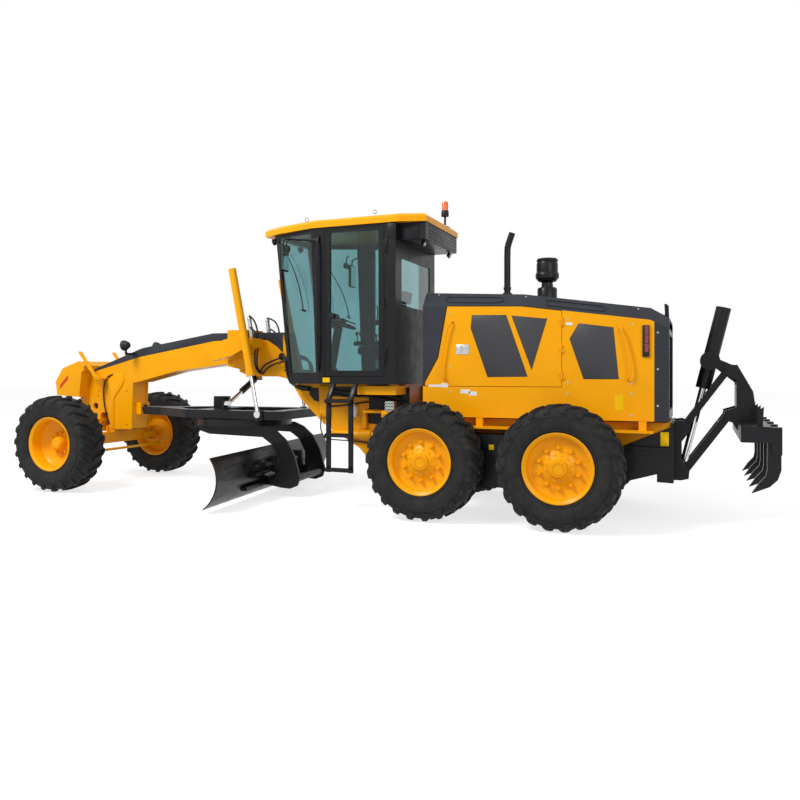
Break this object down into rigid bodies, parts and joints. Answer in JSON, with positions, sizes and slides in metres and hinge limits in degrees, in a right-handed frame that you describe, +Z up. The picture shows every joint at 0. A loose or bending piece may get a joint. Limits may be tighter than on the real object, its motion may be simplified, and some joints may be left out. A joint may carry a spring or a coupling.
{
  "type": "motor grader",
  "caption": "Articulated road grader with a rotating blade under its arched frame, an enclosed cab, tandem rear drive, leaning front wheels and a rear ripper.",
  "frame": {"origin": "on the ground under the middle of the parked machine", "axes": "+X forwards, +Y to the machine's left, +Z up"},
  "size_m": [9.995, 3.6583, 3.94],
  "materials": {
    "yellow_paint": "gloss",
    "dark_paint": "satin",
    "black_paint": "satin",
    "tyre_rubber": "matte",
    "cast_grey": "matte",
    "chrome_rod": "polished",
    "tinted_glass": "clear",
    "red_lens": "gloss",
    "black_plastic": "matte",
    "worn_steel": "satin"
  },
  "bodies": {
    "rear_frame": {"rear_chassis": "yellow_paint", "engine_block": "cast_grey", "hood_cover": "dark_paint", "hood_sides": "yellow_paint", "radiator_guard": "dark_paint", "stacks": "dark_paint", "tandem_drive": "black_paint", "tail_lights": "red_lens", "ripper_bracket": "black_paint"},
    "front_frame": {"boom": "yellow_paint", "boom_cap": "dark_paint", "marker_arms": "yellow_paint", "push_block": "yellow_paint", "saddle": "yellow_paint", "lamps": "black_plastic", "cab_frame": "black_paint", "cab_roof": "yellow_paint", "cab_glass": "tinted_glass", "operator_station": "black_plastic", "ladders": "black_paint", "mirrors": "black_plastic", "front_axle": "yellow_paint"},
    "hood_door_left": {"hood_door_left": "yellow_paint"},
    "hood_door_right": {"hood_door_right": "yellow_paint"},
    "cab_door_left": {"cab_door_left": "black_paint", "door_glass_left": "tinted_glass"},
    "cab_door_right": {"cab_door_right": "black_paint", "door_glass_right": "tinted_glass"},
    "kingpin_block_left": {"kingpin_block_left": "yellow_paint"},
    "kingpin_block_right": {"kingpin_block_right": "yellow_paint"},
    "knuckle_left": {"knuckle_left": "yellow_paint"},
    "knuckle_right": {"knuckle_right": "yellow_paint"},
    "lean_bar": {"lean_bar": "yellow_paint"},
    "tie_rod_end": {"tie_rod_end": "black_paint"},
    "tie_rod": {"tie_rod": "black_paint"},
    "drawbar": {"drawbar": "black_paint"},
    "circle": {"circle": "black_paint"},
    "blade_bracket": {"blade_bracket": "black_paint"},
    "moldboard": {"moldboard": "worn_steel"},
    "lift_barrels": {"lift_barrels": "yellow_paint"},
    "lift_rods": {"lift_rods": "chrome_rod"},
    "shift_barrel": {"shift_barrel": "black_paint"},
    "shift_rod": {"shift_rod": "chrome_rod"},
    "ripper_lower_links": {"ripper_lower_links": "black_paint"},
    "ripper_upper_links": {"ripper_upper_links": "black_paint"},
    "ripper_beam": {"ripper_beam": "black_paint"},
    "ripper_barrel": {"ripper_barrel": "black_paint"},
    "ripper_rod": {"ripper_rod": "chrome_rod"},
    "wheel_rear_left": {"tyre_rear_left": "tyre_rubber", "rim_rear_left": "yellow_paint"},
    "wheel_rear_right": {"tyre_rear_right": "tyre_rubber", "rim_rear_right": "yellow_paint"},
    "wheel_middle_left": {"tyre_middle_left": "tyre_rubber", "rim_middle_left": "yellow_paint"},
    "wheel_middle_right": {"tyre_middle_right": "tyre_rubber", "rim_middle_right": "yellow_paint"},
    "wheel_front_left": {"tyre_front_left": "tyre_rubber", "rim_front_left": "yellow_paint"},
    "wheel_front_right": {"tyre_front_right": "tyre_rubber", "rim_front_right": "yellow_paint"}
  },
  "joints": [
    {"name": "articulation", "type": "hinge", "parent": "rear_frame", "child": "front_frame", "pos_m": [-0.98, 0, 0.95], "axis": [0, 0, 1], "range_deg": [-20, 20]},
    {"name": "roll_rear_left", "type": "hinge", "parent": "rear_frame", "child": "wheel_rear_left", "pos_m": [-2.849, 1.0775, 0.674], "axis": [0, 1, 0], "continuous": true},
    {"name": "roll_middle_left", "type": "hinge", "parent": "rear_frame", "child": "wheel_middle_left", "pos_m": [-1.311, 1.0775, 0.674], "axis": [0, 1, 0], "continuous": true},
    {"name": "roll_front_left", "type": "hinge", "parent": "knuckle_left", "child": "wheel_front_left", "pos_m": [4.18, 1.0775, 0.674], "axis": [0, 1, 0], "continuous": true},
    {"name": "roll_rear_right", "type": "hinge", "parent": "rear_frame", "child": "wheel_rear_right", "pos_m": [-2.849, -1.0775, 0.674], "axis": [0, 1, 0], "continuous": true},
    {"name": "roll_middle_right", "type": "hinge", "parent": "rear_frame", "child": "wheel_middle_right", "pos_m": [-1.311, -1.0775, 0.674], "axis": [0, 1, 0], "continuous": true},
    {"name": "roll_front_right", "type": "hinge", "parent": "knuckle_right", "child": "wheel_front_right", "pos_m": [4.18, -1.0775, 0.674], "axis": [0, 1, 0], "continuous": true},
    {"name": "lean_left", "type": "hinge", "parent": "front_frame", "child": "kingpin_block_left", "pos_m": [4.18, 0.76, 0.674], "axis": [1, 0, 0], "range_deg": [-17, 17]},
    {"name": "steer_left", "type": "hinge", "parent": "kingpin_block_left", "child": "knuckle_left", "pos_m": [4.18, 0.76, 0.674], "axis": [0, 0, 1], "range_deg": [-45, 45]},
    {"name": "lean_right", "type": "hinge", "parent": "front_frame", "child": "kingpin_block_right", "pos_m": [4.18, -0.76, 0.674], "axis": [1, 0, 0], "range_deg": [-17, 17]},
    {"name": "steer_right", "type": "hinge", "parent": "kingpin_block_right", "child": "knuckle_right", "pos_m": [4.18, -0.76, 0.674], "axis": [0, 0, 1], "range_deg": [-45, 45]},
    {"name": "lean_bar_pin", "type": "hinge", "parent": "kingpin_block_left", "child": "lean_bar", "pos_m": [4.18, 0.76, 0.95], "axis": [1, 0, 0], "range_deg": [-17, 17]},
    {"name": "tie_rod_swivel", "type": "hinge", "parent": "knuckle_left", "child": "tie_rod_end", "pos_m": [3.98, 0.76, 0.52], "axis": [0, 0, 1], "range_deg": [-45, 45]},
    {"name": "tie_rod_pin", "type": "hinge", "parent": "tie_rod_end", "child": "tie_rod", "pos_m": [3.98, 0.76, 0.52], "axis": [1, 0, 0], "range_deg": [-17, 17]},
    {"name": "drawbar_lift", "type": "hinge", "parent": "front_frame", "child": "drawbar", "pos_m": [3.6, 0, 1.13], "axis": [0, 1, 0], "range_deg": [-14, 8]},
    {"name": "circle_turn", "type": "hinge", "parent": "drawbar", "child": "circle", "pos_m": [1.805, 0, 0.99], "axis": [0, 0, 1], "continuous": true},
    {"name": "blade_pitch", "type": "hinge", "parent": "circle", "child": "blade_bracket", "pos_m": [1.14992, -0.08043, 0.21], "axis": [-0.1219, 0.9925, 0], "range_deg": [-5, 40]},
    {"name": "blade_side_shift", "type": "slide", "parent": "blade_bracket", "child": "moldboard", "axis": [0.1219, -0.9925, 0], "range_m": [-0.5, 0.5]},
    {"name": "lift_barrel_tilt", "type": "hinge", "parent": "front_frame", "child": "lift_barrels", "pos_m": [1.38794, 0, 2.08], "axis": [0, 1, 0], "range_deg": [-7.28, 4.16]},
    {"name": "lift_rod_slide", "type": "slide", "parent": "lift_barrels", "child": "lift_rods", "axis": [-0.2019, 0, -0.9794], "range_m": [-0.3345, 0.5817]},
    {"name": "shift_barrel_swing", "type": "hinge", "parent": "front_frame", "child": "shift_barrel", "pos_m": [1.79, -0.28, 1.6], "axis": [1, 0, 0], "range_deg": [-29, 17]},
    {"name": "shift_rod_slide", "type": "slide", "parent": "shift_barrel", "child": "shift_rod", "axis": [0, 0.8969, -0.4423], "range_m": [-0.1055, 0.1809]},
    {"name": "ripper_lift", "type": "hinge", "parent": "rear_frame", "child": "ripper_lower_links", "pos_m": [-4.055, 0, 0.567], "axis": [0, -1, 0], "range_deg": [0, 72]},
    {"name": "ripper_upper_follow", "type": "hinge", "parent": "rear_frame", "child": "ripper_upper_links", "pos_m": [-4.062, 0, 1.077], "axis": [0, -1, 0], "range_deg": [-0.5, 72.5]},
    {"name": "ripper_frame_follow", "type": "hinge", "parent": "ripper_lower_links", "child": "ripper_beam", "pos_m": [-4.51, 0, 1.207], "axis": [0, -1, 0], "range_deg": [-72.5, 0.5]},
    {"name": "ripper_barrel_swing", "type": "hinge", "parent": "ripper_beam", "child": "ripper_barrel", "pos_m": [-4.329, 0, 1.806], "axis": [0, -1, 0], "range_deg": [-0.5, 46.58]},
    {"name": "ripper_rod_slide", "type": "slide", "parent": "ripper_barrel", "child": "ripper_rod", "axis": [0.2334, 0, -0.9724], "range_m": [-0.5521, 0.005]},
    {"name": "cab_door_left_hinge", "type": "hinge", "parent": "front_frame", "child": "cab_door_left", "pos_m": [-0.657, 0.728, 2.5], "axis": [0, 0, 1], "range_deg": [0, 85]},
    {"name": "cab_door_right_hinge", "type": "hinge", "parent": "front_frame", "child": "cab_door_right", "pos_m": [-0.657, -0.728, 2.5], "axis": [0, 0, -1], "range_deg": [0, 85]},
    {"name": "hood_door_left_hinge", "type": "hinge", "parent": "rear_frame", "child": "hood_door_left", "pos_m": [-2.787, 0.641, 2], "axis": [0, 0, 1], "range_deg": [0, 100]},
    {"name": "hood_door_right_hinge", "type": "hinge", "parent": "rear_frame", "child": "hood_door_right", "pos_m": [-2.787, -0.641, 2], "axis": [0, 0, -1], "range_deg": [0, 100]}
  ],
  "couplings": [
    {"joint": "lean_right", "follows": "lean_left", "ratio": 1},
    {"joint": "steer_right", "follows": "steer_left", "ratio": 1},
    {"joint": "lean_bar_pin", "follows": "lean_left", "ratio": -1},
    {"joint": "tie_rod_swivel", "follows": "steer_left", "ratio": -1},
    {"joint": "tie_rod_pin", "follows": "lean_left", "ratio": -1},
    {"joint": "lift_barrel_tilt", "follows": "drawbar_lift", "ratio": 0.505},
    {"joint": "lift_rod_slide", "follows": "drawbar_lift", "m_per_rad": -2.36},
    {"joint": "shift_barrel_swing", "follows": "drawbar_lift", "ratio": 2},
    {"joint": "shift_rod_slide", "follows": "drawbar_lift", "m_per_rad": -0.72},
    {"joint": "ripper_upper_follow", "follows": "ripper_lift", "ratio": 1},
    {"joint": "ripper_frame_follow", "follows": "ripper_lift", "ratio": -1},
    {"joint": "ripper_barrel_swing", "follows": "ripper_lift", "ratio": 0.64},
    {"joint": "ripper_rod_slide", "follows": "ripper_lift", "m_per_rad": -0.4354}
  ]
}
